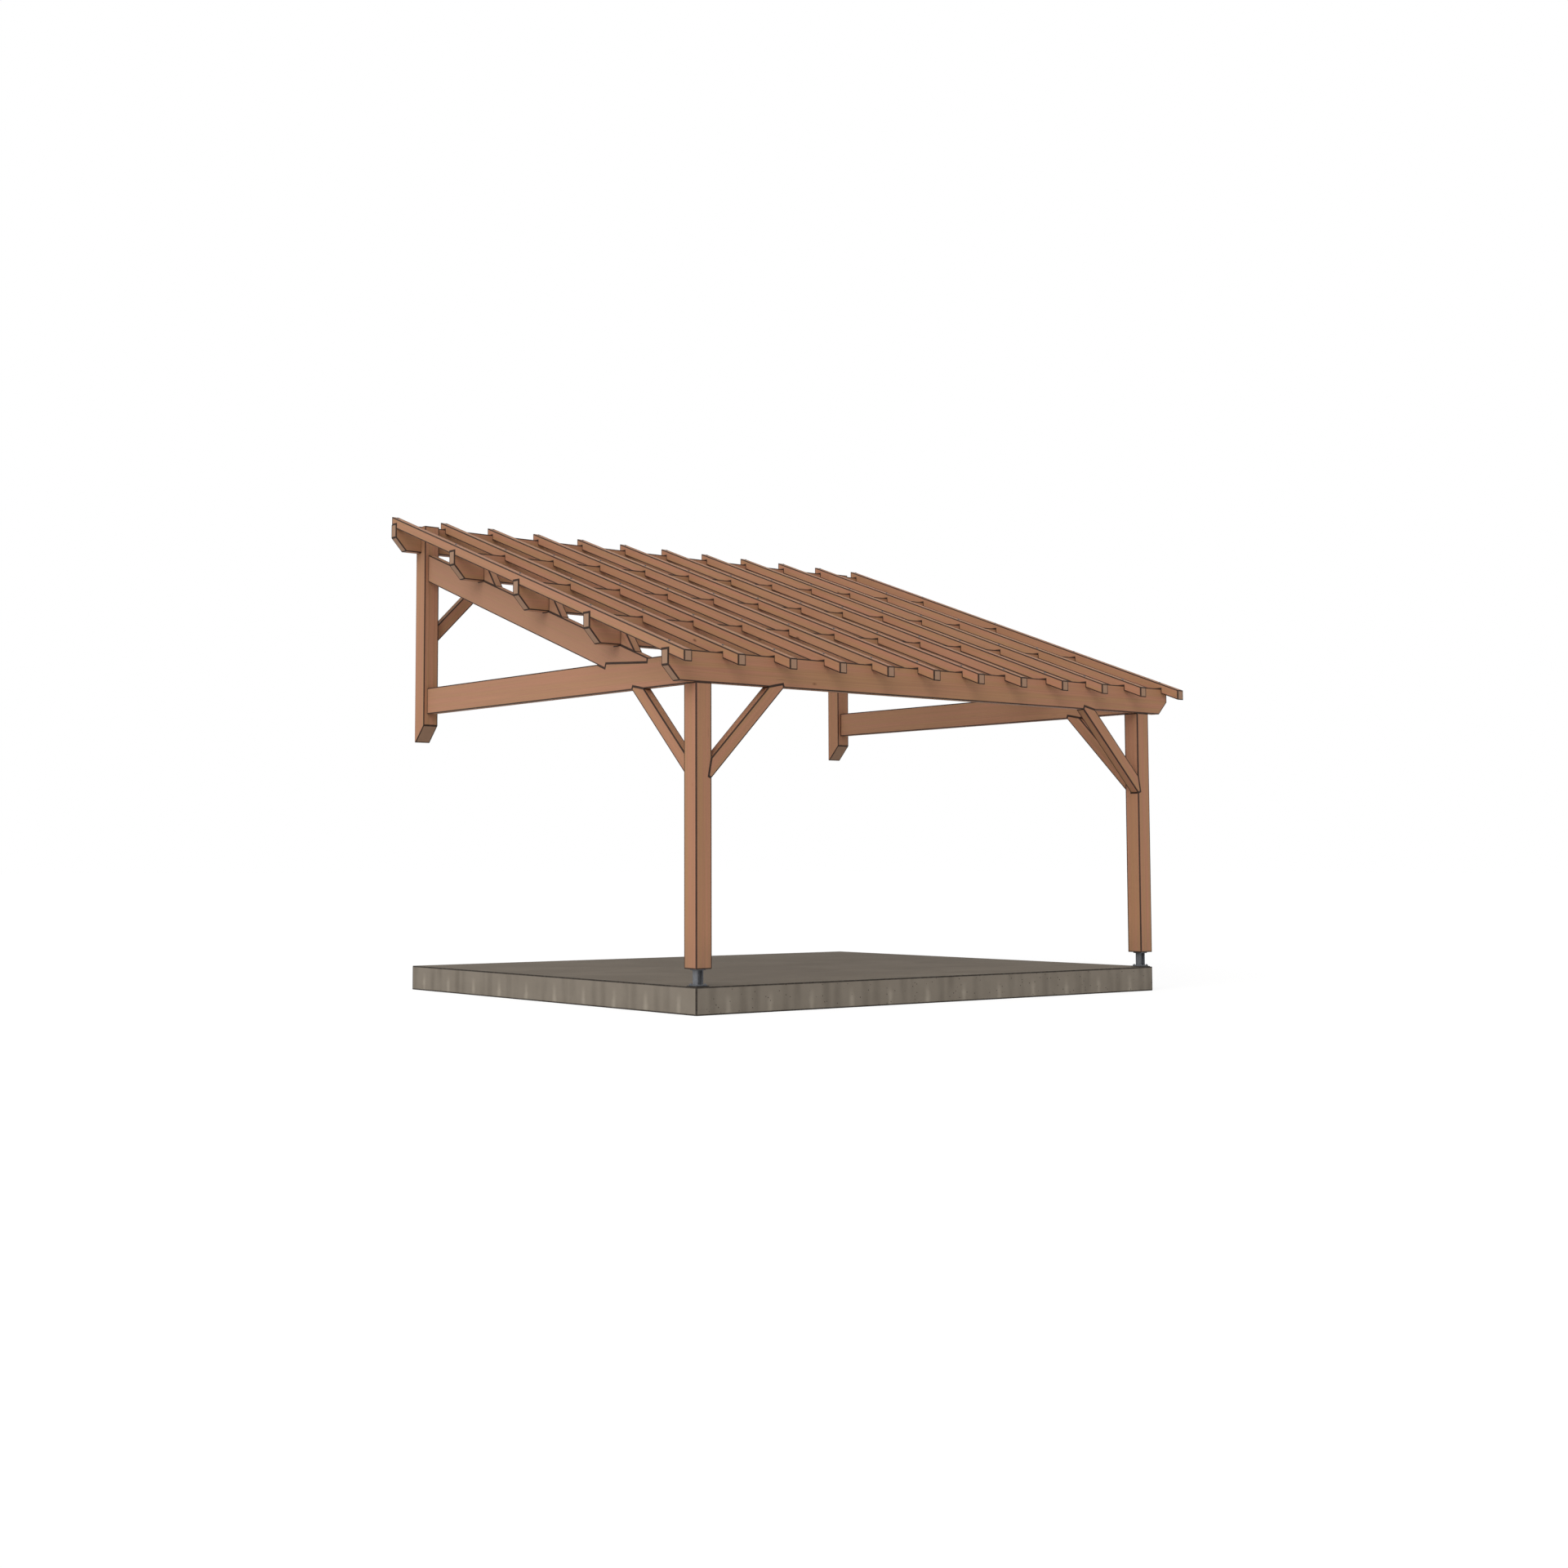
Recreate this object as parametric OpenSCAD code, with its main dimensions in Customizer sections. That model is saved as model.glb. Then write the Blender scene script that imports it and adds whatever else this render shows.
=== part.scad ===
// Lean-to carport: an open timber frame on a concrete slab.
// X runs along the front, Y from the low eave to the house wall, Z up.
// The origin is the middle of the slab's underside.

/* [Overall] */
// Width over the outer faces of the posts
frame_width = 5600; // [4600:50:7000]
// Depth from the front faces of the front posts to the house wall
frame_depth = 4500; // [3600:50:5600]
// Clear height from the slab to the underside of the beams
clear_height = 2455; // [2100:5:3000]
// Pitch of the roof in degrees
roof_pitch = 20; // [15:0.5:26]

/* [Slab] */
// Thickness of the concrete slab
slab_thick = 230; // [120:5:350]

/* [Posts] */
// Side of the square front posts, and width of the wall posts
post_w = 160; // [120:5:220]
// Depth of the wall posts, measured out from the wall
wall_post_depth = 165; // [130:5:230]
// How far the front of a wall post reaches below the tie beam
wall_post_drop = 112; // [60:2:250]
// Height of the slanted cut at the foot of a wall post
wall_foot_rise = 160; // [80:5:260]
// Flat left at the lowest edge of a wall post
wall_foot_flat = 12; // [4:1:40]

/* [Post bases] */
// Height of a front post's end above the slab
base_height = 140; // [80:5:220]
// Side of the square rubber pad under the base plate
pad_w = 130; // [100:2:158]
// Thickness of the rubber pad
pad_t = 6; // [2:1:12]
// Side of the square base plate
base_plate_w = 104; // [90:2:150]
// Side of the square top plate
top_plate_w = 92; // [80:2:120]
// Thickness of both plates
base_plate_t = 10; // [6:1:16]
// Side of the H-section stem
stem_w = 62; // [50:1:78]
// Thickness of the stem's flanges
stem_flange_t = 9; // [5:1:14]
// Thickness of the stem's web
stem_web_t = 8; // [4:1:14]

/* [Beams] */
// Thickness of the eave beam and the purlins
beam_t = 90; // [60:5:140]
// Depth of the eave beam and the tie beams
eave_beam_d = 255; // [180:5:320]
// Depth of the purlins
purlin_d = 260; // [200:5:320]
// Reach of the eave beam and purlins past the posts
beam_overhang = 285; // [150:5:500]
// Height of the upright part of a beam end
nose_height = 132; // [90:2:170]
// Length of the slanted cut under a beam end
nose_run = 118; // [40:2:180]

/* [Ties and principal rafters] */
// Thickness of the tie beams and principal rafters
tie_t = 80; // [60:5:110]
// Depth of a principal rafter, square to its length
principal_d = 250; // [180:5:300]
// Depth of the front step let into the tie beam
toe_step = 38; // [20:1:60]
// Depth of the heel step let into the tie beam
heel_step = 42; // [20:1:60]

/* [Cleats] */
// Length of a cleat, level, from the purlin to its thin end
cleat_len = 208; // [120:2:300]
// Height of a cleat where it meets the purlin
cleat_h = 150; // [100:2:180]
// Angle of a cleat's slanted face to the level
cleat_angle = 54; // [45:1:70]

/* [Common rafters] */
// Width of a common rafter
rafter_w = 80; // [50:5:100]
// Depth of a common rafter, square to its length
rafter_d = 90; // [80:5:180]
// Reach of the rafter tails in front of the eave beam, level
tail_reach = 207; // [60:1:600]
// Depth of the notch over the back edge of each beam
notch_d = 15; // [5:1:30]
// Set-back of the outermost rafters from the beam ends
rafter_inset = 5; // [0:1:40]

/* [Braces] */
// Depth of a brace in its own plane
brace_d = 115; // [80:5:150]
// Level reach of the front and side braces from the post
brace_leg = 775; // [500:5:1000]
// Level reach of the wall braces from the post
wall_brace_leg = 905; // [600:5:1200]
// Depth of the step that lets a brace end into its post or beam
brace_step = 30; // [10:1:40]

/* [Hidden] */

// These counts go with the names in NODES.
purlin_count = 3;
rafter_count = 12;

wood_lit = [0.67, 0.50, 0.40];
wood_dark = [0.60, 0.46, 0.37];
concrete = [0.48, 0.45, 0.40];
steel = [0.36, 0.36, 0.38];
rubber = [0.08, 0.08, 0.08];

slope = tan(roof_pitch);
front_y = -frame_depth / 2;
wall_y = frame_depth / 2;
outer_x = frame_width / 2;
slab_top = slab_thick;
beam_bottom = slab_top + clear_height;
beam_top = beam_bottom + eave_beam_d;
beam_length = frame_width + 2 * beam_overhang;
post_front_y = wall_y - wall_post_depth;
tie_x = -outer_x + (post_w - tie_t) / 2;

// Heights of the sloping lines at a level distance y.
function rafter_under(y) = beam_top - notch_d + slope * (y - front_y - beam_t);
function rafter_over(y) = rafter_under(y) + rafter_d / cos(roof_pitch);
function principal_over(y) =
  rafter_under(y) + notch_d + slope * beam_t - purlin_d;
function principal_under(y) = principal_over(y) - principal_d / cos(roof_pitch);

// The wall purlin is line purlin_count + 1, and the eave beam is line 0.
wall_line = purlin_count + 1;
line_pitch = (frame_depth - beam_t) / wall_line;
function line_front(line) = front_y + line * line_pitch;
function line_top(line) = rafter_under(line_front(line) + beam_t) + notch_d;
function line_bottom(line) = line == 0 ? beam_bottom : line_top(line) - purlin_d;

rafter_pitch = (beam_length - 2 * rafter_inset - rafter_w) / (rafter_count - 1);
brace_width_level = brace_d * sqrt(2);
brace_tip = brace_step * tan(22.5);

// Draws its children at the left (-1) or mirrored to the right (1).
module at_side(side) {
  if (side < 0) children();
  else mirror([1, 0, 0]) children();
}

// Extrudes an outline given as (y, z) from x to x + width.
module along_x(x, width) {
  translate([x, 0, 0])
    rotate([90, 0, 90])
      linear_extrude(width) children();
}

// Extrudes an outline given as (x, z) from y to y + width.
module along_y(y, width) {
  translate([0, y + width, 0])
    rotate([90, 0, 0])
      linear_extrude(width) children();
}

module slab_solid() {
  translate([-outer_x, front_y, 0])
    cube([frame_width, frame_depth, slab_thick]);
}

// One beam across the front: square in section, with its ends cut up from below.
module beam_solid(line) {
  end = beam_length / 2;
  low = line_bottom(line);
  high = line_top(line);
  along_y(line_front(line), beam_t)
    polygon([
      [-end, high],
      [-end, high - nose_height],
      [-end + nose_run, low],
      [end - nose_run, low],
      [end, high - nose_height],
      [end, high]
    ]);
}

// Outline of a brace, with (0, 0) in the corner between post and beam.
module brace_outline(leg) {
  polygon([
    [0, -leg],
    [leg, 0],
    [leg - brace_tip, brace_step],
    [leg - brace_width_level, 0],
    [0, brace_width_level - leg],
    [-brace_step, brace_tip - leg]
  ]);
}

module front_brace_solid() {
  along_y(front_y, beam_t)
    translate([post_w - outer_x, beam_bottom])
      brace_outline(brace_leg);
}

module side_brace_solid() {
  along_x(tie_x, tie_t)
    translate([front_y + post_w, beam_bottom])
      brace_outline(brace_leg);
}

module wall_brace_solid() {
  along_y(line_front(wall_line), beam_t)
    translate([post_w - outer_x, line_bottom(wall_line)])
      brace_outline(wall_brace_leg);
}

// Where the underside of a principal rafter meets the bottom of its heel step.
heel_z = beam_top - heel_step;
heel_y = post_front_y - (principal_under(post_front_y) - heel_z) / slope;
toe_y = post_front_y - (principal_over(post_front_y) - beam_top) / slope;

// The foot is a double step: a shallow toe, a sloping seat and a square heel.
module principal_solid() {
  along_x(tie_x, tie_t)
    polygon([
      [post_front_y, principal_over(post_front_y)],
      [toe_y, beam_top],
      [toe_y + toe_step * tan(roof_pitch / 2), beam_top - toe_step],
      [heel_y - heel_step * slope, beam_top],
      [heel_y, heel_z],
      [post_front_y, principal_under(post_front_y)]
    ]);
}

// Draws its children at the middle of a front post, on the slab.
module under_post(side) {
  at_side(side)
    translate([post_w / 2 - outer_x, front_y + post_w / 2, slab_top]) children();
}

// A flat block centred on X and Y, from z up.
module centred_block(width, depth, height, z) {
  translate([-width / 2, -depth / 2, z]) cube([width, depth, height]);
}

module base_pad(side) {
  color(rubber)
    under_post(side) centred_block(pad_w, pad_w, pad_t, 0);
}

module post_base(side) {
  stem_z = pad_t + base_plate_t;
  top_plate_z = base_height - base_plate_t;
  stem_h = top_plate_z - stem_z;
  color(steel)
    under_post(side) {
      centred_block(base_plate_w, base_plate_w, base_plate_t, pad_t);
      centred_block(top_plate_w, top_plate_w, base_plate_t, top_plate_z);
      centred_block(stem_w, stem_web_t, stem_h, stem_z);
      for (flange_x = [-1, 1] * (stem_w - stem_flange_t) / 2)
        translate([flange_x, 0, 0])
          centred_block(stem_flange_t, stem_w, stem_h, stem_z);
    }
}

module base_slab() {
  color(concrete) slab_solid();
}

module front_post(side) {
  foot_z = slab_top + base_height;
  color(wood_lit)
    at_side(side)
      difference() {
        translate([-outer_x, front_y, foot_z])
          cube([post_w, post_w, beam_bottom - foot_z]);
        front_brace_solid();
        side_brace_solid();
      }
}

// The wall purlin lies in a rebate cut out of the back of the post's top.
module wall_post(side) {
  foot_z = beam_bottom - wall_post_drop;
  purlin_low = line_bottom(wall_line);
  purlin_front = line_front(wall_line);
  color(wood_lit)
    at_side(side)
      difference() {
        along_x(-outer_x, post_w)
          polygon([
            [post_front_y, foot_z],
            [wall_y - wall_foot_flat, foot_z - wall_foot_rise],
            [wall_y, foot_z - wall_foot_rise],
            [wall_y, purlin_low],
            [purlin_front, purlin_low],
            [purlin_front, line_top(wall_line)],
            [post_front_y, line_top(wall_line)]
          ]);
        wall_brace_solid();
      }
}

module eave_beam() {
  color(wood_dark)
    difference() {
      beam_solid(0);
      for (side = [-1, 1])
        at_side(side) front_brace_solid();
    }
}

module wall_purlin() {
  color(wood_dark)
    difference() {
      beam_solid(wall_line);
      for (side = [-1, 1])
        at_side(side) wall_brace_solid();
    }
}

module purlin(line) {
  color(wood_dark) beam_solid(line);
}

module tie_solid() {
  back_y = front_y + beam_t;
  translate([tie_x, back_y, beam_bottom])
    cube([tie_t, post_front_y - back_y, eave_beam_d]);
}

module tie_beam(side) {
  color(wood_lit)
    at_side(side)
      difference() {
        tie_solid();
        principal_solid();
        side_brace_solid();
      }
}

// Each purlin sits level in a notch cut into the principal rafter.
module principal_rafter(side) {
  color(wood_lit)
    at_side(side)
      difference() {
        principal_solid();
        for (line = [1:purlin_count])
          beam_solid(line);
      }
}

// A cleat stands on the principal rafter, or past its toe on the tie beam,
// and holds its purlin from sliding.
module cleat(side, line) {
  face_y = line_front(line);
  thin_y = face_y - cleat_len;
  top_z = principal_over(face_y) + cleat_h;
  shoulder_y = thin_y + (top_z - principal_over(thin_y)) / tan(cleat_angle);
  color(wood_lit)
    at_side(side)
      difference() {
        along_x(tie_x, tie_t)
          polygon([
            [thin_y, principal_over(thin_y)],
            [face_y, principal_over(face_y)],
            [face_y, top_z],
            [shoulder_y, top_z]
          ]);
        tie_solid();
      }
}

module front_brace(side) {
  color(wood_dark) at_side(side) front_brace_solid();
}

module side_brace(side) {
  color(wood_lit) at_side(side) side_brace_solid();
}

module wall_brace(side) {
  color(wood_dark) at_side(side) wall_brace_solid();
}

// A common rafter, notched over every beam that it crosses.
module rafter(number) {
  x = (number - 1) * rafter_pitch + rafter_inset - beam_length / 2;
  tail_y = front_y - tail_reach;
  color(wood_lit)
    difference() {
      along_x(x, rafter_w)
        polygon([
          [tail_y, rafter_under(tail_y)],
          [wall_y, rafter_under(wall_y)],
          [wall_y, rafter_over(wall_y)],
          [tail_y, rafter_over(tail_y)]
        ]);
      for (line = [0:wall_line])
        translate([x - 1, line_front(line), line_bottom(line)])
          cube([rafter_w + 2, beam_t, line_top(line) - line_bottom(line)]);
      for (side = [-1, 1])
        at_side(side)
          translate([-outer_x, post_front_y, beam_top])
            cube([post_w, wall_post_depth, line_top(wall_line) - beam_top]);
    }
}

base_slab();
base_pad(-1);  // base_pad_left
base_pad(1);  // base_pad_right
post_base(-1);  // post_base_left
post_base(1);  // post_base_right
front_post(-1);  // front_post_left
front_post(1);  // front_post_right
wall_post(-1);  // wall_post_left
wall_post(1);  // wall_post_right
eave_beam();
tie_beam(-1);  // tie_beam_left
tie_beam(1);  // tie_beam_right
principal_rafter(-1);  // principal_rafter_left
principal_rafter(1);  // principal_rafter_right
wall_purlin();
purlin(1);  // purlin_lower
purlin(2);  // purlin_middle
purlin(3);  // purlin_upper
cleat(-1, 1);  // cleat_lower_left
cleat(-1, 2);  // cleat_middle_left
cleat(-1, 3);  // cleat_upper_left
cleat(1, 1);  // cleat_lower_right
cleat(1, 2);  // cleat_middle_right
cleat(1, 3);  // cleat_upper_right
front_brace(-1);  // front_brace_left
front_brace(1);  // front_brace_right
side_brace(-1);  // side_brace_left
side_brace(1);  // side_brace_right
wall_brace(-1);  // wall_brace_left
wall_brace(1);  // wall_brace_right
rafter(1);  // rafter_01
rafter(2);  // rafter_02
rafter(3);  // rafter_03
rafter(4);  // rafter_04
rafter(5);  // rafter_05
rafter(6);  // rafter_06
rafter(7);  // rafter_07
rafter(8);  // rafter_08
rafter(9);  // rafter_09
rafter(10);  // rafter_10
rafter(11);  // rafter_11
rafter(12);  // rafter_12
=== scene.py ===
# %% [markdown]
# # A timber lean-to carport
# The carport is a concrete slab, two front posts on steel feet, two short wall posts that stand on
# the tie beams, three sets of beams and twelve rafters. Its exact shape comes from the frame. This
# lesson gives every timber rounded corners, grain that follows its own length and a finish. It gives
# the concrete its board marks and the steel feet their welds and bolts.

# %% Load the frame
import math
import random

import bmesh
import bpy
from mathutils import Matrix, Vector


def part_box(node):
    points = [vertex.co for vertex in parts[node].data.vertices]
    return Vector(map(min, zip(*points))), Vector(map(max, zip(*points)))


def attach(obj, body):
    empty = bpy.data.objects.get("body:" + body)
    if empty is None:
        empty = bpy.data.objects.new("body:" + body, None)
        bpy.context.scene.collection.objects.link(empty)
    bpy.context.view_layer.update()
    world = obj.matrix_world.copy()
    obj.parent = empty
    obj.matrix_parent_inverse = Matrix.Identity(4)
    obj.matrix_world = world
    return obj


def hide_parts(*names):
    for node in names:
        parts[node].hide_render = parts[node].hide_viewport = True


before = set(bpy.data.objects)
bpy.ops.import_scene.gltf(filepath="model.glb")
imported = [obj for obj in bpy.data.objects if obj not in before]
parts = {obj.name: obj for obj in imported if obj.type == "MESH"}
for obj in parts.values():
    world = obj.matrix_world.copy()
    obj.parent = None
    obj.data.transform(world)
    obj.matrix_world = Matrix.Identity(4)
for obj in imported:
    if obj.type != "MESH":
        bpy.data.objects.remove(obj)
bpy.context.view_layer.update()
print("parts in the frame:", len(parts))


# %% [markdown]
# ## The camera
# A building is best shown from a little below the height of a person's eyes, far enough away that its
# upright lines stay nearly parallel. The camera stands in front of the left corner, about twenty metres
# off, and looks slightly up. The small lens shift slides the view without turning the camera, as
# the rising front of a plate camera does.

# %% Camera
camera_place = Vector((-12.8014, -15.0608, 1.1789))
camera_turn = math.radians(-37.46)
camera_tilt = math.radians(4.24)
lens_length = 46.334

camera_data = bpy.data.cameras.new("front_left_camera")
camera_data.lens = lens_length
camera_data.sensor_width = 36
camera_data.shift_x = 0.0677
camera_data.shift_y = -0.0417
camera = bpy.data.objects.new("front_left_camera", camera_data)
camera.location = camera_place
camera.rotation_euler = (math.radians(90) + camera_tilt, 0, camera_turn)
bpy.context.scene.collection.objects.link(camera)
bpy.context.scene.camera = camera
bpy.context.scene.view_settings.view_transform = "Standard"
print("camera", round(camera_place.length, 2), "m from the middle of the slab's underside")


# %% [markdown]
# ## Shader maths as plain Python
# A node tree is hard to read when each sum is five lines long. The small class below wraps an output
# socket. Its operators add Math nodes, so `1 - mask` makes a Subtract node. One method makes any other
# node: settings go first, because a Math node's operation decides which sockets it has.

# %% The wire and the bench
def srgb(red, green, blue):
    """A colour as paint charts give it, 0 to 255, turned into the linear light that shaders use."""
    linear = []
    for part in (red, green, blue):
        share = part / 255
        linear.append(share / 12.92 if share <= 0.04045 else ((share + 0.055) / 1.055) ** 2.4)
    return (*linear, 1.0)


class Wire:
    """An output socket that can be added, multiplied and compared."""

    def __init__(self, bench, socket):
        self.bench = bench
        self.socket = socket

    def sum_of(self, operation, first, second=0.0):
        return self.bench.node("ShaderNodeMath", {"operation": operation}, {0: first, 1: second})

    def __add__(self, other):
        return self.sum_of("ADD", self, other)

    def __radd__(self, other):
        return self.sum_of("ADD", other, self)

    def __sub__(self, other):
        return self.sum_of("SUBTRACT", self, other)

    def __rsub__(self, other):
        return self.sum_of("SUBTRACT", other, self)

    def __mul__(self, other):
        return self.sum_of("MULTIPLY", self, other)

    def __rmul__(self, other):
        return self.sum_of("MULTIPLY", other, self)

    def __truediv__(self, other):
        return self.sum_of("DIVIDE", self, other)

    def __pow__(self, other):
        return self.sum_of("POWER", self, other)

    def __gt__(self, other):
        return self.sum_of("GREATER_THAN", self, other)

    def fraction(self):
        return self.sum_of("FRACT", self)

    def size(self):
        return self.sum_of("ABSOLUTE", self)

    def rise(self, low, high):
        """0 below low, 1 above high, and a soft slope between."""
        values = {"Value": self, "From Min": low, "From Max": high, "To Min": 0.0, "To Max": 1.0}
        return self.bench.node("ShaderNodeMapRange", {"interpolation_type": "SMOOTHSTEP"}, values)

    def parts(self):
        node = self.bench.make("ShaderNodeSeparateXYZ", {}, {0: self})
        return [Wire(self.bench, output) for output in node.outputs]


class Bench:
    """A material being made, with its Principled shader."""

    def __init__(self, name):
        self.material = bpy.data.materials.new(name)
        self.material.use_nodes = True
        self.tree = self.material.node_tree
        self.shader = self.tree.nodes["Principled BSDF"]

    def make(self, kind, settings, values):
        node = self.tree.nodes.new(kind)
        for key, setting in settings.items():
            setattr(node, key, setting)
        for key, value in values.items():
            self.feed(node.inputs[key], value)
        return node

    def node(self, kind, settings, values, output=0):
        return Wire(self, self.make(kind, settings, values).outputs[output])

    def feed(self, socket, value):
        if isinstance(value, Wire):
            self.tree.links.new(value.socket, socket)
        else:
            socket.default_value = value

    def attribute(self, name, output="Fac"):
        return self.node("ShaderNodeAttribute", {"attribute_name": name}, {}, output)

    def object_place(self):
        return self.node("ShaderNodeTexCoord", {}, {}, "Object")

    def vector_sum(self, operation, first, second):
        return self.node("ShaderNodeVectorMath", {"operation": operation}, {0: first, 1: second})

    def noise(self, place, stretch, detail=2.0, roughness=0.5):
        stretched = self.vector_sum("MULTIPLY", place, stretch)
        values = {"Vector": stretched, "Scale": 1.0, "Detail": detail, "Roughness": roughness}
        return self.node("ShaderNodeTexNoise", {}, values)

    def cells(self, place, stretch, feature="F1", output="Distance"):
        stretched = self.vector_sum("MULTIPLY", place, stretch)
        values = {"Vector": stretched, "Scale": 1.0}
        return self.node("ShaderNodeTexVoronoi", {"feature": feature}, values, output)

    def blend(self, share, first, second, way="MIX"):
        settings = {"data_type": "RGBA", "blend_type": way}
        return self.node("ShaderNodeMix", settings, {0: share, 6: first, 7: second}, 2)

    def bump(self, height, strength, distance):
        values = {"Height": height, "Strength": strength, "Distance": distance}
        return self.node("ShaderNodeBump", {}, values)

    def finish(self, **values):
        for key, value in values.items():
            self.feed(self.shader.inputs[key.replace("_", " ")], value)
        return self.material


print("a mid grey of 128 is", round(srgb(128, 128, 128)[0], 3), "in linear light")


# %% [markdown]
# ## Sawn timber
# The frame is sawn softwood with an orange-brown stain. Three things tell the eye that it is wood:
# streaks a few centimetres wide that run along each piece, growth rings seen from the side, and the
# darker line that stain leaves on every corner. An image wrapped on the beams would run the same way
# on all of them. Here every timber carries its own coordinates instead: how far along the grain, and
# how far from the heart of the tree. One material then fits posts, beams and rafters.

# %% Timber finish
bench = Bench("stained_softwood")
grain = bench.attribute("grain", "Vector")
shift = bench.attribute("shift", "Vector")
tone = bench.attribute("tone")
arris = bench.attribute("arris")
end_grain = bench.attribute("end_grain")
place = bench.vector_sum("ADD", grain, shift)
along, across, deep = grain.parts()

ring_width = 0.0085
ring_wander = 0.022
wander = bench.noise(place, (0.7, 4.0, 4.0)) - 0.5
heart_distance = (across * across + deep * deep) ** 0.5 + wander * ring_wander
ring = (heart_distance / ring_width).fraction()
late_wood = ring.rise(0.35, 0.95) * (1 - ring.rise(0.95, 1.0))

broad_streak = bench.noise(place, (0.55, 26.0, 26.0), 1.5).rise(0.32, 0.68)
thin_streak = bench.noise(place, (0.9, 75.0, 75.0), 1.0).rise(0.35, 0.7)
fibre = bench.noise(place, (9.0, 420.0, 420.0), 2.0)

knot_spread = (2.1, 4.6, 4.6)
knot_edge = 0.062
knot_cell = bench.cells(place, knot_spread)
knot_lot = bench.cells(place, knot_spread, output="Color").parts()[0]
knot = (1 - knot_cell.rise(0.035, knot_edge)) * (knot_lot > 0.62)
knot_ring = (1 - (knot_cell - knot_edge).size().rise(0.0, 0.02)) * (knot_lot > 0.62)
check_spread = (1.6, 38.0, 38.0)
check_cell = bench.cells(place, check_spread)
check_lot = bench.cells(place, check_spread, output="Color").parts()[1]
check = (1 - check_cell.rise(0.05, 0.12)) * (check_lot > 0.9)

tan = bench.blend(broad_streak, srgb(177, 125, 97), srgb(170, 127, 91))
tan = bench.blend(thin_streak * 0.34, tan, srgb(158, 113, 88))
# The tone blend lightens each piece a little at random, and principals, ties and cleats more, as painted
# light.
tan = bench.blend(tone * 0.42, tan, srgb(172, 132, 108))
tan = bench.blend(late_wood * 0.16, tan, srgb(126, 82, 58))
tan = bench.blend((fibre - 0.5).size() * 0.4, tan, srgb(120, 84, 62))
tan = bench.blend(knot_ring * 0.35, tan, srgb(128, 82, 55))
tan = bench.blend(knot * 0.75, tan, srgb(92, 58, 40))
tan = bench.blend(check * 0.6, tan, srgb(84, 56, 41))
end_rings = bench.blend(late_wood * 0.3, srgb(160, 130, 108), srgb(112, 86, 68))
tan = bench.blend(end_grain * 0.8, tan, end_rings)

height_above_floor = bench.object_place().parts()[2]
post_foot, splash_top = 0.37, 0.75
splash = (1 - height_above_floor.rise(post_foot, splash_top)) * bench.noise(place, (3.0, 14.0, 14.0)) * 0.5
tan = bench.blend(splash, tan, srgb(112, 92, 76))
worn = bench.noise(place, (5.0, 30.0, 30.0)).rise(0.3, 0.75)
corner_line = arris.rise(0.05, 0.6) * (0.97 - worn * 0.08)
tan = bench.blend(corner_line, tan, srgb(34, 22, 16))

relief = late_wood * 0.35 + fibre * 0.4 + thin_streak * 0.15 - check * 0.9 - knot * 0.2
timber = bench.finish(
    Base_Color=tan,
    Roughness=0.6 + fibre * 0.16 + end_grain * 0.12 - late_wood * 0.06,
    Normal=bench.bump(relief, 0.6, 0.0009),
    Specular_IOR_Level=0.28,
)
print("timber finish:", len(bench.tree.nodes), "nodes")


# %% [markdown]
# ## Cutting and dressing the timbers
# A planed beam has a small round on each corner, because a knife-sharp edge splinters. The exact
# shape is copied, its triangles are joined back into whole faces, and the outer corners are
# rounded by three millimetres. Each face then gets a narrow border, so that a number can fade
# from 1 on the corner to 0 inside it: the stain line reads that number. The grain runs along the
# longest edge, and the heart of the tree is put somewhere near the section, never twice the same.

# %% Dressing a timber
timber_names = [name for name in sorted(parts) if name.split("_")[0] in (
    "front", "wall", "eave", "tie", "principal", "purlin", "cleat", "side", "rafter")]
corner_round = 0.003
stain_border = 0.011


def whole_faces(part):
    """A copy of a part's mesh with its loose triangles joined into flat faces."""
    shape = bmesh.new()
    shape.from_mesh(part.data)
    shape.verts.layers.float.new("arris")
    bmesh.ops.remove_doubles(shape, verts=shape.verts, dist=0.00003)
    flat = math.radians(0.4)
    bmesh.ops.dissolve_limit(shape, angle_limit=flat, verts=shape.verts, edges=shape.edges)
    return shape


def round_corners(shape, size, steps=2):
    """Rounds the outer corners, and returns the faces that were there before."""
    outer = []
    for edge in shape.edges:
        if len(edge.link_faces) == 2 and edge.calc_face_angle_signed() > math.radians(20):
            outer.append(edge)
    made = bmesh.ops.bevel(shape, geom=outer, offset=size, offset_type="OFFSET", segments=steps,
                           profile=0.5, affect="EDGES", clamp_overlap=True)
    rounded = set(made["faces"])
    return [face for face in shape.faces if face not in rounded]


def border(shape, faces, width):
    """Adds a border inside each wide face, and marks the corners outside the borders with 1."""
    wide = []
    for face in faces:
        if 2 * face.calc_area() / face.calc_perimeter() > 1.3 * width:
            wide.append(face)
    for face in wide:
        narrow = width
        for loop in face.loops:
            length = loop.edge.calc_length()
            if loop.is_convex and loop.link_loop_next.is_convex and 0.004 < length < 1.6 * width:
                narrow = min(narrow, 0.5 * length)
        bmesh.ops.inset_individual(shape, faces=[face], thickness=narrow, use_even_offset=True)
    inside = {vertex for face in wide for vertex in face.verts}
    layer = shape.verts.layers.float["arris"]
    for vertex in shape.verts:
        vertex[layer] = 0.0 if vertex in inside else 1.0


def grain_axes(shape):
    """Along the longest edge, square to the widest side, and the third way."""
    longest = max(shape.edges, key=lambda edge: edge.calc_length())
    way = (longest.verts[1].co - longest.verts[0].co).normalized()
    sides = [face for face in shape.faces if abs(face.normal.dot(way)) < 0.2]
    widest = max(sides, key=lambda face: face.calc_area())
    square = (widest.normal - way * widest.normal.dot(way)).normalized()
    return way, square, way.cross(square)


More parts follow.
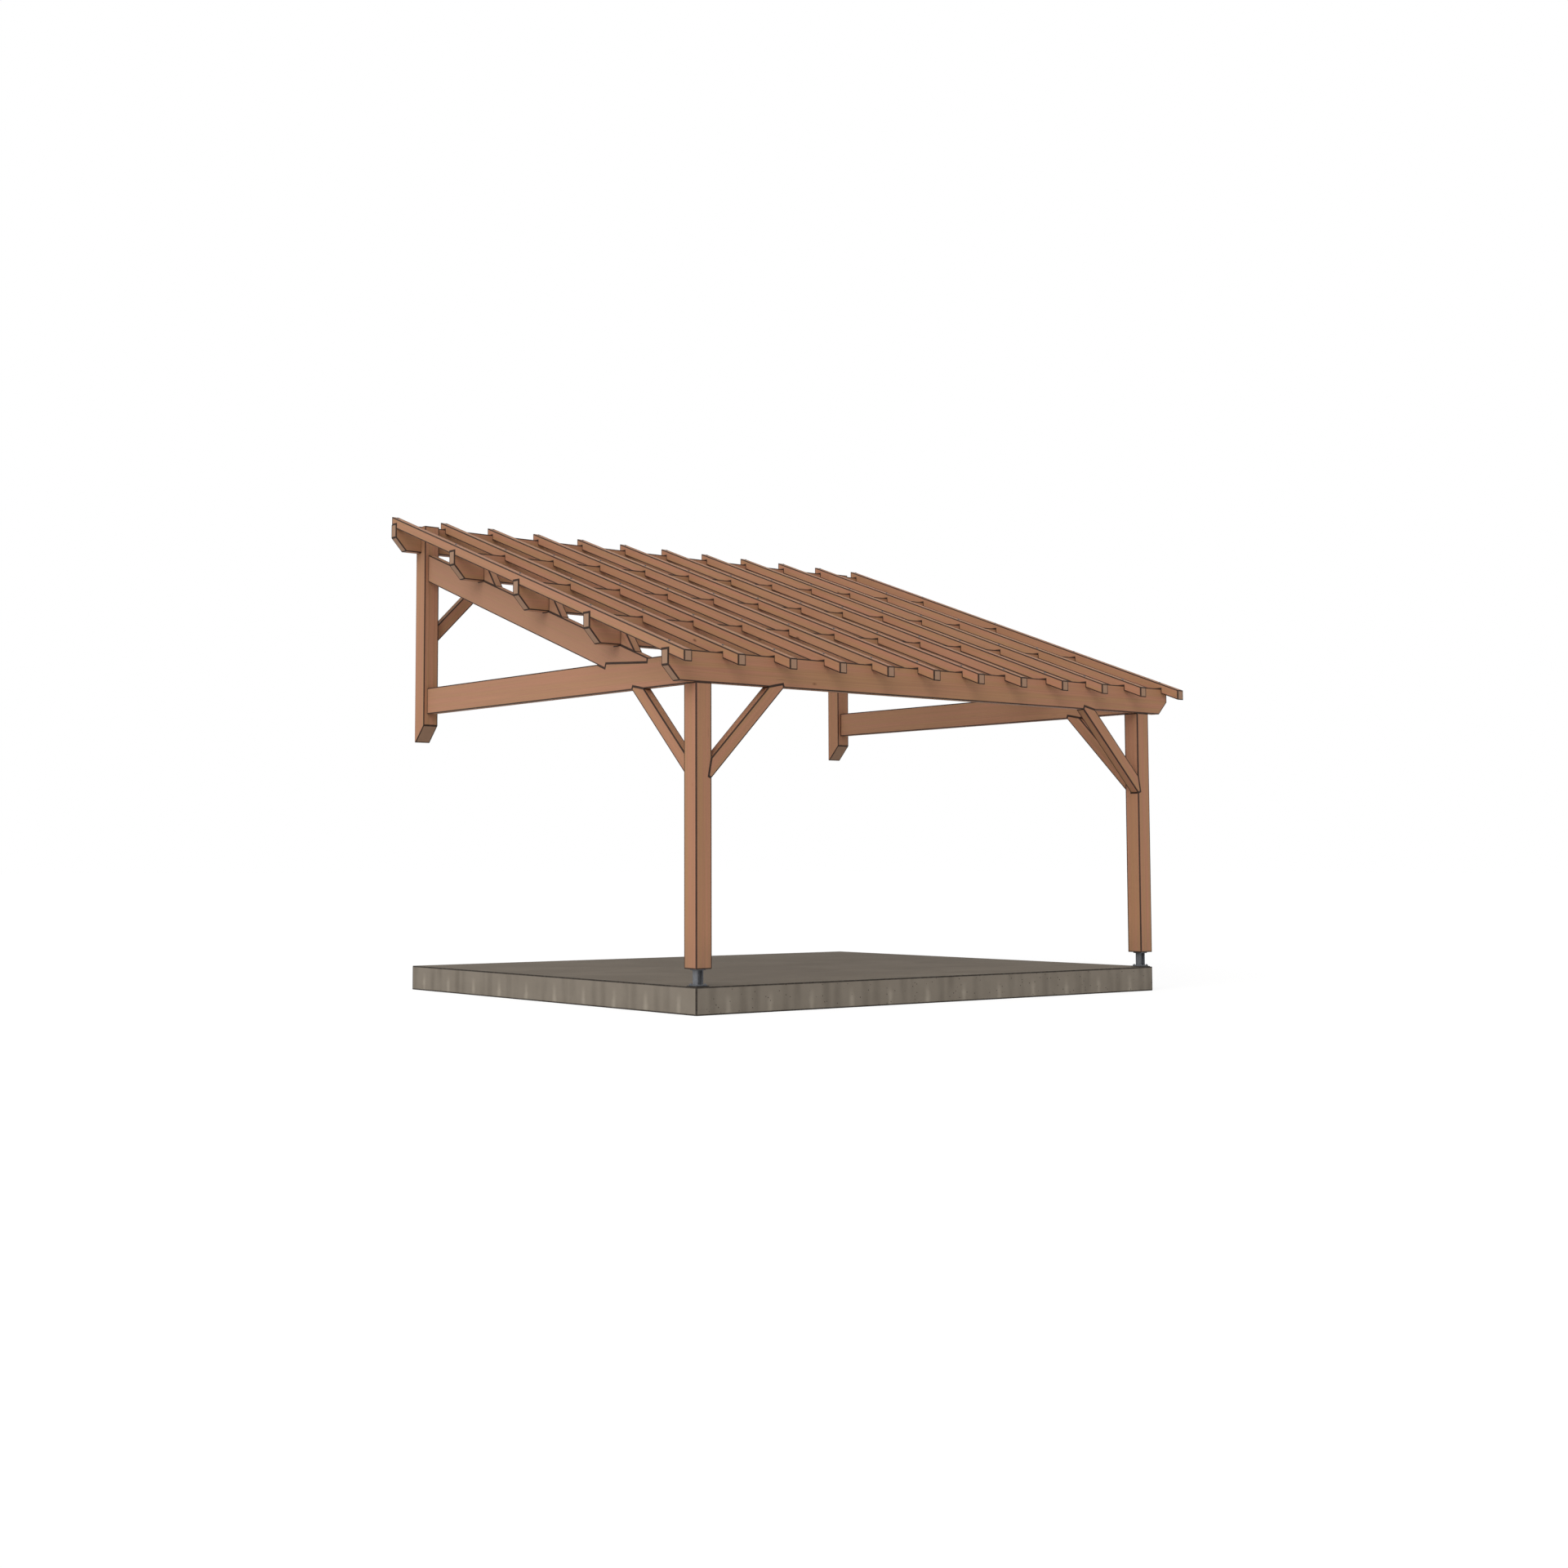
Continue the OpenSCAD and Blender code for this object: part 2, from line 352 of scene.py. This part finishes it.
def dressed_mesh(name, seed):
    """The mesh of one timber with rounded corners, its border and its grain coordinates."""
    lot = random.Random(seed)
    shape = whole_faces(parts[name])
    way, square, third = grain_axes(shape)
    border(shape, round_corners(shape, corner_round), stain_border)
    grain_layer = shape.verts.layers.float_vector.new("grain")
    end_layer = shape.faces.layers.float.new("end_grain")
    low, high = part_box(name)
    middle = (low + high) / 2
    heart = (lot.uniform(-0.05, 0.05), lot.choice((-1, 1)) * lot.uniform(0.02, 0.11))
    for vertex in shape.verts:
        offset = vertex.co - middle
        reading = (offset.dot(way), offset.dot(square) - heart[0], offset.dot(third) - heart[1])
        vertex[grain_layer] = Vector(reading)
    shape.normal_update()
    for face in shape.faces:
        face[end_layer] = 1.0 if abs(face.normal.dot(way)) > 0.6 else 0.0
    mesh = bpy.data.meshes.new(name + "_dressed")
    shape.to_mesh(mesh)
    shape.free()
    return mesh


def set_everywhere(mesh, name, kind, value):
    """Gives every point of a mesh the same number or direction."""
    layer = mesh.attributes.new(name, kind, "POINT")
    field = "vector" if kind == "FLOAT_VECTOR" else "value"
    for item in layer.data:
        setattr(item, field, value)


def add_piece(name, mesh, material, slot, *replaced):
    """Puts a finished mesh in the scene at the origin, in place of the parts it stands for."""
    piece = bpy.data.objects.new(name, mesh)
    bpy.context.scene.collection.objects.link(piece)
    mesh.materials.clear()
    mesh.materials.append(material)
    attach(piece, "root")
    if replaced:
        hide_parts(*replaced)
    return piece


print("timbers to dress:", len(timber_names))


# %% Posts, beams, ties, principals, cleats and braces
# Principals, ties and cleats sit in the roof's shadow, so their tone is raised as painted light.
painted_light_tone = {"principal": 0.85, "tie": 0.5, "cleat": 0.7}
for number, name in enumerate(n for n in timber_names if not n.startswith("rafter")):
    mesh = dressed_mesh(name, 100 + number)
    lot = random.Random(500 + number)
    own_shift = (lot.uniform(0, 40), lot.uniform(0, 40), lot.uniform(0, 40))
    tone_and_painted_light = painted_light_tone.get(name.split("_")[0], 0.0) + lot.uniform(0, 0.3)
    set_everywhere(mesh, "shift", "FLOAT_VECTOR", own_shift)
    set_everywhere(mesh, "tone", "FLOAT", tone_and_painted_light)
    add_piece("dressed_" + name, mesh, timber, "timber", name)
    print(name, "faces:", len(mesh.polygons))


# %% [markdown]
# ## Twelve rafters from one
# The rafters are cut to one pattern and set at one spacing, which is a rule, so Geometry Nodes lay
# them out. A line of points runs along the eaves, and the pattern is put on each point. Random
# numbers with a fixed seed are stored on every copy before it becomes real mesh. The timber finish
# adds them to its coordinates, so that no two rafters show the same streaks.

# %% A helper for geometry trees
def new_tree(name, inputs):
    """An empty geometry tree with named inputs, and a map from each name to its identifier."""
    tree = bpy.data.node_groups.new(name, "GeometryNodeTree")
    tree.interface.new_socket("Geometry", in_out="INPUT", socket_type="NodeSocketGeometry")
    known = {}
    for label, kind in inputs:
        known[label] = tree.interface.new_socket(label, in_out="INPUT", socket_type=kind).identifier
    tree.interface.new_socket("Geometry", in_out="OUTPUT", socket_type="NodeSocketGeometry")
    return tree, known, tree.nodes.new("NodeGroupInput")


def put(tree, kind, settings=None, values=None):
    """Adds a node: its settings first, then its values or links."""
    node = tree.nodes.new(kind)
    for key, setting in (settings or {}).items():
        setattr(node, key, setting)
    for key, value in (values or {}).items():
        if isinstance(value, bpy.types.NodeSocket):
            tree.links.new(value, node.inputs[key])
        else:
            node.inputs[key].default_value = value
    return node


def close_tree(tree, shape, given):
    """Ends a tree: copies made real, then the material."""
    real = put(tree, "GeometryNodeRealizeInstances", {}, {0: shape})
    values = {"Geometry": real.outputs[0], "Material": given.outputs["Material"]}
    painted = put(tree, "GeometryNodeSetMaterial", {}, values)
    out = tree.nodes.new("NodeGroupOutput")
    tree.links.new(painted.outputs[0], out.inputs[0])


def grow(name, mesh, tree, known, values):
    """Runs a tree on a mesh and returns the plain mesh that comes out."""
    seedling = bpy.data.objects.new(name + "_seedling", mesh)
    bpy.context.scene.collection.objects.link(seedling)
    modifier = seedling.modifiers.new("grow", "NODES")
    modifier.node_group = tree
    for label, value in values.items():
        modifier[known[label]] = value
    shown = seedling.evaluated_get(bpy.context.evaluated_depsgraph_get())
    grown = bpy.data.meshes.new_from_object(shown)
    seedling.modifiers.clear()
    bpy.data.objects.remove(seedling)
    grown.name = name
    return grown


print("geometry tree helpers are ready")


# %% Rafters
rafter_names = [name for name in timber_names if name.startswith("rafter")]
first_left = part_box(rafter_names[0])[0].x
last_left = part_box(rafter_names[-1])[0].x
rafter_spacing = (last_left - first_left) / (len(rafter_names) - 1)

rafter_inputs = [("Count", "NodeSocketInt"), ("Spacing", "NodeSocketFloat"),
                 ("Seed", "NodeSocketInt"), ("Material", "NodeSocketMaterial")]
tree, known, given = new_tree("rafter_row", rafter_inputs)
step = put(tree, "ShaderNodeCombineXYZ", {}, {"X": given.outputs["Spacing"]})
line = put(tree, "GeometryNodeMeshLine", {"mode": "OFFSET", "count_mode": "TOTAL"},
           {"Count": given.outputs["Count"], "Offset": step.outputs[0]})
copies = put(tree, "GeometryNodeInstanceOnPoints", {},
             {"Points": line.outputs[0], "Instance": given.outputs["Geometry"]})
any_place = put(tree, "FunctionNodeRandomValue", {"data_type": "FLOAT_VECTOR"},
                {0: (0, 0, 0), 1: (40, 40, 40), "Seed": given.outputs["Seed"]})
moved = put(tree, "GeometryNodeStoreNamedAttribute", {"data_type": "FLOAT_VECTOR", "domain": "INSTANCE"},
            {"Geometry": copies.outputs[0], "Name": "shift", "Value": any_place.outputs[0]})
any_tone = put(tree, "FunctionNodeRandomValue", {"data_type": "FLOAT"},
               {2: 0.0, 3: 0.4, "Seed": given.outputs["Seed"]})
toned = put(tree, "GeometryNodeStoreNamedAttribute", {"data_type": "FLOAT", "domain": "INSTANCE"},
            {"Geometry": moved.outputs[0], "Name": "tone", "Value": any_tone.outputs[1]})
close_tree(tree, toned.outputs[0], given)

pattern = dressed_mesh(rafter_names[0], 90)
rafter_values = {"Count": len(rafter_names), "Spacing": rafter_spacing, "Seed": 7, "Material": timber}
rafter_row = grow("rafter_row", pattern, tree, known, rafter_values)
add_piece("rafter_row", rafter_row, timber, "timber", *rafter_names)
print("rafters:", len(rafter_names), "at", round(rafter_spacing, 4), "m")
print("attributes kept:", [a.name for a in rafter_row.attributes if not a.name.startswith(".")])


# %% [markdown]
# ## The concrete slab
# The slab was poured against short form boards about 45 centimetres long. Each board leaves its own
# mark: a paler smear of cement in the lower half, a duller band at its joint and a scatter of small air
# holes. The top was drawn off with a straight board across the width, so it shows fine lines from
# side to side; its grey is painted darker than the sides, as painted shade. The marks follow a rule,
# so they're worked out from the distance along the side, with noise to break them up.

# %% Concrete finish
board_length = 0.449
first_mark = 0.222
front_shift = 0.006
bench = Bench("cast_concrete")
spot = bench.object_place()
x, y, z = spot.parts()
lid = bench.attribute("lid")
front = bench.attribute("front")
arris = bench.attribute("arris")

run = x * front + y * (1 - front) + first_mark + front * front_shift
board = (run / board_length + 0.5).fraction()
smear_width = bench.noise(spot, (9.0, 9.0, 14.0), 3.0)
smear = 1 - (board - 0.5).size().rise(0.0, 0.03 + smear_width * 0.13)
low_half = (1 - z.rise(0.06, 0.2)) * z.rise(0.0, 0.02)
smear = smear * low_half * (0.2 + smear_width)
dull = 1 - ((board - 0.5).size() - 0.36).size().rise(0.02, 0.16)
dull = dull * bench.noise(spot, (7.0, 7.0, 3.0), 3.0).rise(0.25, 0.75)

cloud = bench.noise(spot, (2.3, 2.3, 5.0), 4.0, 0.6)
sand = bench.noise(spot, (260.0, 260.0, 260.0), 2.0)
hole_spread = (42.0, 42.0, 42.0)
hole_cell = bench.cells(spot, hole_spread)
hole_lot = bench.cells(spot, hole_spread, output="Color").parts()[0]
hole = (1 - hole_cell.rise(0.14, 0.3)) * (hole_lot > 0.86) * (1 - lid)
drawn = bench.noise(spot, (0.6, 17.0, 40.0), 3.0, 0.6).rise(0.3, 0.7)
drawn_fine = bench.noise(spot, (2.0, 190.0, 60.0), 2.0)
patch = bench.noise(spot, (1.1, 1.7, 1.0), 5.0, 0.65).rise(0.42, 0.68)

side_grey = bench.blend(cloud, srgb(123, 114, 102), srgb(138, 129, 117))
side_grey = bench.blend(dull * 0.5, side_grey, srgb(98, 90, 80))
side_grey = bench.blend(smear * 0.42, side_grey, srgb(184, 174, 158))
side_grey = bench.blend(hole * 0.8, side_grey, srgb(62, 56, 49))
# The top's grey is darker than the sides' for the shade that falls on it: painted shade.
shaded_lid_grey = bench.blend(cloud, srgb(103, 94, 82), srgb(116, 106, 93))
shaded_lid_grey = bench.blend(drawn * 0.28, shaded_lid_grey, srgb(88, 80, 70))
shaded_lid_grey = bench.blend(patch * 0.35, shaded_lid_grey, srgb(128, 119, 106))
shaded_lid_grey = bench.blend((drawn_fine - 0.5).size() * 0.4, shaded_lid_grey, srgb(140, 130, 116))
grey = bench.blend(lid, side_grey, shaded_lid_grey)
grey = bench.blend((sand - 0.5).size() * 0.4, grey, srgb(84, 77, 69))
chipped = bench.noise(spot, (38.0, 38.0, 38.0)).rise(0.3, 0.75)
grey = bench.blend(arris.rise(0.05, 0.7) * (0.95 - chipped * 0.15), grey, srgb(36, 31, 27))

relief = sand * 0.3 + cloud * 0.3 - hole * 0.9 + drawn * lid * 0.5 + drawn_fine * lid * 0.3
concrete = bench.finish(
    Base_Color=grey,
    Roughness=0.86 + sand * 0.1 - smear * 0.1,
    Normal=bench.bump(relief, 0.7, 0.0016),
    Specular_IOR_Level=0.25,
)
print("concrete finish:", len(bench.tree.nodes), "nodes")


# %% The slab
slab_round = 0.005
slab_shape = whole_faces(parts["base_slab"])
border(slab_shape, round_corners(slab_shape, slab_round, 3), stain_border)
lid_layer = slab_shape.faces.layers.float.new("lid")
front_layer = slab_shape.faces.layers.float.new("front")
slab_shape.normal_update()
for face in slab_shape.faces:
    face[lid_layer] = 1.0 if face.normal.z > 0.9 else 0.0
    face[front_layer] = 1.0 if abs(face.normal.y) > 0.7 else 0.0
slab_mesh = bpy.data.meshes.new("cast_slab")
slab_shape.to_mesh(slab_mesh)
slab_shape.free()
add_piece("cast_slab", slab_mesh, concrete, "concrete", "base_slab")
print("slab faces:", len(slab_mesh.polygons))


# %% [markdown]
# ## Steel feet on dark pads
# Each front post stands on a short length of H section with a plate welded to each end. It lifts the end
# grain clear of wet concrete. The steel is hot-dip galvanised and has gone dull, so its zinc crystals
# show as patches that differ a little in tone. A thin near-black pad under each plate stands for the
# shadow beneath it: painted shadow. Both come straight from the frame, with rounded corners of one
# millimetre.

# %% Steel finish and the dark pads' painted shadow
bench = Bench("dull_galvanised_steel")
spot = bench.object_place()
crystal = bench.cells(spot, (95.0, 95.0, 95.0), output="Color").parts()[0]
crystal_edge = bench.cells(spot, (95.0, 95.0, 95.0), feature="DISTANCE_TO_EDGE")
fine = bench.noise(spot, (420.0, 420.0, 420.0), 2.0)
stain = bench.noise(spot, (16.0, 16.0, 8.0), 4.0).rise(0.45, 0.75)
arris = bench.attribute("arris")
zinc = bench.blend(crystal, srgb(96, 98, 102), srgb(116, 119, 124))
zinc = bench.blend((1 - crystal_edge.rise(0.0, 0.1)) * 0.25, zinc, srgb(144, 147, 152))
zinc = bench.blend(stain * 0.4, zinc, srgb(64, 62, 60))
zinc = bench.blend((fine - 0.5).size() * 0.4, zinc, srgb(56, 55, 55))
zinc = bench.blend(arris.rise(0.2, 0.95) * 0.6, zinc, srgb(38, 37, 37))
steel = bench.finish(
    Base_Color=zinc,
    Metallic=0.3 - stain * 0.2,
    Roughness=0.5 + crystal * 0.12 + stain * 0.2,
    Normal=bench.bump(fine * 0.5 + crystal * 0.25, 0.4, 0.0005),
)
print("steel finish:", len(bench.tree.nodes), "nodes")

# The pad's near-black colour stands for the shadow under each plate: painted shadow.
bench = Bench("painted_shadow_pad")
spot = bench.object_place()
speck = bench.noise(spot, (600.0, 600.0, 600.0), 2.0)
dust = bench.noise(spot, (30.0, 30.0, 30.0), 4.0).rise(0.4, 0.8)
shadow_pad_black = bench.blend(dust * 0.45, srgb(33, 31, 30), srgb(84, 78, 71))
shadow_pad_black = bench.blend((speck - 0.5).size() * 0.6, shadow_pad_black, srgb(17, 16, 16))
rubber = bench.finish(
    Base_Color=shadow_pad_black,
    Roughness=0.74 + dust * 0.16,
    Normal=bench.bump(speck, 0.5, 0.0004),
)
print("rubber finish:", len(bench.tree.nodes), "nodes")


# %% The feet and pads
def trimmed_mesh(name, size, width):
    """A copy of a small part with rounded corners and the number that marks its corners."""
    shape = whole_faces(parts[name])
    border(shape, round_corners(shape, size), width)
    mesh = bpy.data.meshes.new(name + "_trimmed")
    shape.to_mesh(mesh)
    shape.free()
    return mesh


for side in ("left", "right"):
    foot, pad = "post_base_" + side, "base_pad_" + side
    add_piece("steel_foot_" + side, trimmed_mesh(foot, 0.001, 0.002), steel, "galvanised_steel", foot)
    # Each dark pad is painted shadow under its plate.
    add_piece("dark_pad_" + side, trimmed_mesh(pad, 0.001, 0.0015), rubber, "rubber", pad)


# %% [markdown]
# ## Weld beads
# The H section is joined to its plates by a bead of weld that goes all round. A bead follows a path,
# which is work for Geometry Nodes: the outline of the section becomes a curve, noise makes its thickness
# swell and shrink as a hand weld does, and a small circle is swept along it.

# %% Weld tree and beads
weld_inputs = [("Bead", "NodeSocketFloat"), ("Step", "NodeSocketFloat"),
               ("Material", "NodeSocketMaterial")]
tree, known, given = new_tree("weld_bead", weld_inputs)
path = put(tree, "GeometryNodeMeshToCurve", {}, {0: given.outputs["Geometry"]})
spaced = put(tree, "GeometryNodeResampleCurve", {"mode": "LENGTH"},
             {"Curve": path.outputs[0], "Length": given.outputs["Step"]})
ripple = put(tree, "ShaderNodeTexNoise", {}, {"Scale": 190.0, "Detail": 1.0})
swell = put(tree, "ShaderNodeMapRange", {}, {"Value": ripple.outputs[0], "To Min": 0.7, "To Max": 1.3})
ring = put(tree, "GeometryNodeCurvePrimitiveCircle", {"mode": "RADIUS"},
           {"Resolution": 8, "Radius": given.outputs["Bead"]})
bead = put(tree, "GeometryNodeCurveToMesh", {},
           {"Curve": spaced.outputs[0], "Profile Curve": ring.outputs[0],
            "Scale": swell.outputs[0], "Fill Caps": True})
close_tree(tree, bead.outputs[0], given)

half_section = 0.031
flange_inside = 0.022
half_web = 0.004
plate_thickness = 0.010
corner = [(half_section, half_section), (flange_inside, half_section), (flange_inside, half_web)]
outline = corner + [(-px, py) for px, py in reversed(corner)]
outline = outline + [(-px, -py) for px, py in outline]
loop_points = []
loop_edges = []
for side in ("left", "right"):
    low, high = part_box("post_base_" + side)
    middle = (low + high) / 2
    for level in (low.z + plate_thickness, high.z - plate_thickness):
        first = len(loop_points)
        for px, py in outline:
            loop_points.append((middle.x + px, middle.y + py, level))
        count = len(outline)
        loop_edges += [(first + i, first + (i + 1) % count) for i in range(count)]
paths = bpy.data.meshes.new("weld_paths")
paths.from_pydata(loop_points, loop_edges, [])
welds = grow("weld_beads", paths, tree, known, {"Bead": 0.003, "Step": 0.004, "Material": steel})
add_piece("weld_beads", welds, steel, "galvanised_steel")
print("weld beads:", len(welds.polygons), "faces")


# %% [markdown]
# ## Bolts and screws
# Four anchor bolts hold each steel foot. One long screw with a hexagon head goes down through each
# rafter into every beam that it crosses, sixty in all. The same head repeats at known points, so a
# tree puts it there: a washer, a six-sided head and a low cap. Each point carries the direction
# that its head faces, and each head is turned by its own random angle.

# %% Bolt tree
bolt_inputs = [("Head", "NodeSocketFloat"), ("Washer", "NodeSocketFloat"),
               ("Seed", "NodeSocketInt"), ("Material", "NodeSocketMaterial")]
tree, known_bolt, given = new_tree("hexagon_heads", bolt_inputs)
washer_thickness = 0.0015
head_height = 0.0055
washer = put(tree, "GeometryNodeMeshCylinder", {},
             {"Vertices": 20, "Radius": given.outputs["Washer"], "Depth": washer_thickness})
head = put(tree, "GeometryNodeMeshCylinder", {},
           {"Vertices": 6, "Radius": given.outputs["Head"], "Depth": head_height})
head_up = put(tree, "GeometryNodeTransform", {},
              {0: head.outputs[0], "Translation": (0, 0, (washer_thickness + head_height) / 2)})
cap_share = put(tree, "ShaderNodeMath", {"operation": "MULTIPLY"}, {0: given.outputs["Head"], 1: 0.78})
cap = put(tree, "GeometryNodeMeshCone", {},
          {"Vertices": 12, "Radius Bottom": cap_share.outputs[0], "Radius Top": 0.002, "Depth": 0.0012})
cap_up = put(tree, "GeometryNodeTransform", {},
             {0: cap.outputs[0], "Translation": (0, 0, washer_thickness / 2 + head_height)})
joined = tree.nodes.new("GeometryNodeJoinGeometry")
for shape in (washer, head_up, cap_up):
    tree.links.new(shape.outputs[0], joined.inputs[0])
facing = put(tree, "GeometryNodeInputNamedAttribute", {"data_type": "FLOAT_VECTOR"}, {"Name": "facing"})
turned = put(tree, "FunctionNodeAlignRotationToVector", {"axis": "Z"}, {"Vector": facing.outputs[0]})
heads = put(tree, "GeometryNodeInstanceOnPoints", {},
            {"Points": given.outputs["Geometry"], "Instance": joined.outputs[0],
             "Rotation": turned.outputs[0]})
spin = put(tree, "FunctionNodeRandomValue", {"data_type": "FLOAT_VECTOR"},
           {0: (0, 0, 0), 1: (0, 0, 6.28), "Seed": given.outputs["Seed"]})
spun = put(tree, "GeometryNodeRotateInstances", {},
           {"Instances": heads.outputs[0], "Rotation": spin.outputs[0]})
close_tree(tree, spun.outputs[0], given)


def heads_at(name, places, facings, head, washer_size, seed):
    """Hexagon heads at given places, each facing its own way."""
    points = bpy.data.meshes.new(name + "_places")
    points.from_pydata(places, [], [])
    layer = points.attributes.new("facing", "FLOAT_VECTOR", "POINT")
    for item, way in zip(layer.data, facings):
        item.vector = way
    values = {"Head": head, "Washer": washer_size, "Seed": seed, "Material": steel}
    mesh = grow(name, points, tree, known_bolt, values)
    return add_piece(name, mesh, steel, "galvanised_steel")


bolt_reach = 0.041
half_washer = 0.0007
bolt_places = []
for side in ("left", "right"):
    low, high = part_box("post_base_" + side)
    middle = (low + high) / 2
    for px in (-bolt_reach, bolt_reach):
        for py in (-bolt_reach, bolt_reach):
            bolt_places.append((middle.x + px, middle.y + py, low.z + plate_thickness + half_washer))
heads_at("anchor_bolts", bolt_places, [(0, 0, 1)] * len(bolt_places), 0.0085, 0.0095, 3)
print("anchor bolts:", len(bolt_places))


# %% Rafter screws
roof_pitch = math.radians(20)
roof_up = (0, -math.sin(roof_pitch), math.cos(roof_pitch))
beam_lines = ("eave_beam", "purlin_lower", "purlin_middle", "purlin_upper", "wall_purlin")
screw_places = []
for name in rafter_names:
    low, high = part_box(name)
    for beam in beam_lines:
        beam_low, beam_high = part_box(beam)
        across_beam = (beam_low.y + beam_high.y) / 2
        surface = high.z - (high.y - across_beam) * math.tan(roof_pitch)
        screw_places.append(((low.x + high.x) / 2, across_beam, surface + half_washer))
heads_at("rafter_screws", screw_places, [roof_up] * len(screw_places), 0.0075, 0.011, 4)
print("rafter screws:", len(screw_places))


# %% [markdown]
# ## Floor and light
# A soft lamp stands high on the left, a little in front, so that the left sides are brightest and the
# fronts are a step darker. The floor is pale and matt. For the camera and for mirror reflections, the
# sky and most of the floor's colour are plain white, while the floor still keeps the shadow.

# %% Floor, sky and lamp
def seen_directly(tree):
    """1 where the camera, a reflection or a see-through surface looks, 0 for other light."""
    rays = tree.nodes.new("ShaderNodeLightPath")
    total = None
    for label in ("Is Camera Ray", "Is Glossy Ray", "Is Transmission Ray"):
        if total is None:
            total = rays.outputs[label]
        else:
            either = {0: total, 1: rays.outputs[label]}
            total = put(tree, "ShaderNodeMath", {"operation": "MAXIMUM"}, either).outputs[0]
    return total


floor_mesh = bpy.data.meshes.new("floor")
reach = 400.0
corners = [(-reach, -reach, 0), (reach, -reach, 0), (reach, reach, 0), (-reach, reach, 0)]
floor_mesh.from_pydata(corners, [], [(0, 1, 2, 3)])
floor = bpy.data.objects.new("floor", floor_mesh)
bpy.context.scene.collection.objects.link(floor)
floor_paint = bpy.data.materials.new("pale_floor")
floor_paint.use_nodes = True
tree = floor_paint.node_tree
tree.nodes.clear()
matt = put(tree, "ShaderNodeBsdfDiffuse", {}, {"Color": (0.9, 0.9, 0.9, 1)})
white = put(tree, "ShaderNodeEmission", {}, {"Color": (1, 1, 1, 1), "Strength": 1.14})
white_share = 0.72
share = put(tree, "ShaderNodeMath", {"operation": "MULTIPLY"}, {0: seen_directly(tree), 1: white_share})
mixed = put(tree, "ShaderNodeMixShader", {},
            {0: share.outputs[0], 1: matt.outputs[0], 2: white.outputs[0]})
put(tree, "ShaderNodeOutputMaterial", {}, {0: mixed.outputs[0]})
floor_mesh.materials.append(floor_paint)

world = bpy.data.worlds.new("studio")
world.use_nodes = True
bpy.context.scene.world = world
tree = world.node_tree
tree.nodes.clear()
soft = put(tree, "ShaderNodeBackground", {}, {"Color": (1, 1, 1, 1), "Strength": 0.46})
plain = put(tree, "ShaderNodeBackground", {}, {"Color": (1, 1, 1, 1), "Strength": 1.0})
mixed = put(tree, "ShaderNodeMixShader", {},
            {0: seen_directly(tree), 1: soft.outputs[0], 2: plain.outputs[0]})
put(tree, "ShaderNodeOutputWorld", {}, {0: mixed.outputs[0]})

lamp_data = bpy.data.lights.new("soft_key", "SUN")
lamp_data.energy = 1.85
lamp_data.angle = math.radians(50)
lamp = bpy.data.objects.new("soft_key", lamp_data)
lamp_height = math.radians(35)
lamp_side = math.radians(24)
toward = Vector((-math.cos(lamp_height) * math.cos(lamp_side),
                 -math.cos(lamp_height) * math.sin(lamp_side), math.sin(lamp_height)))
lamp.rotation_euler = toward.to_track_quat("Z", "Y").to_euler()
bpy.context.scene.collection.objects.link(lamp)
print("lamp stands toward", tuple(round(n, 2) for n in toward))
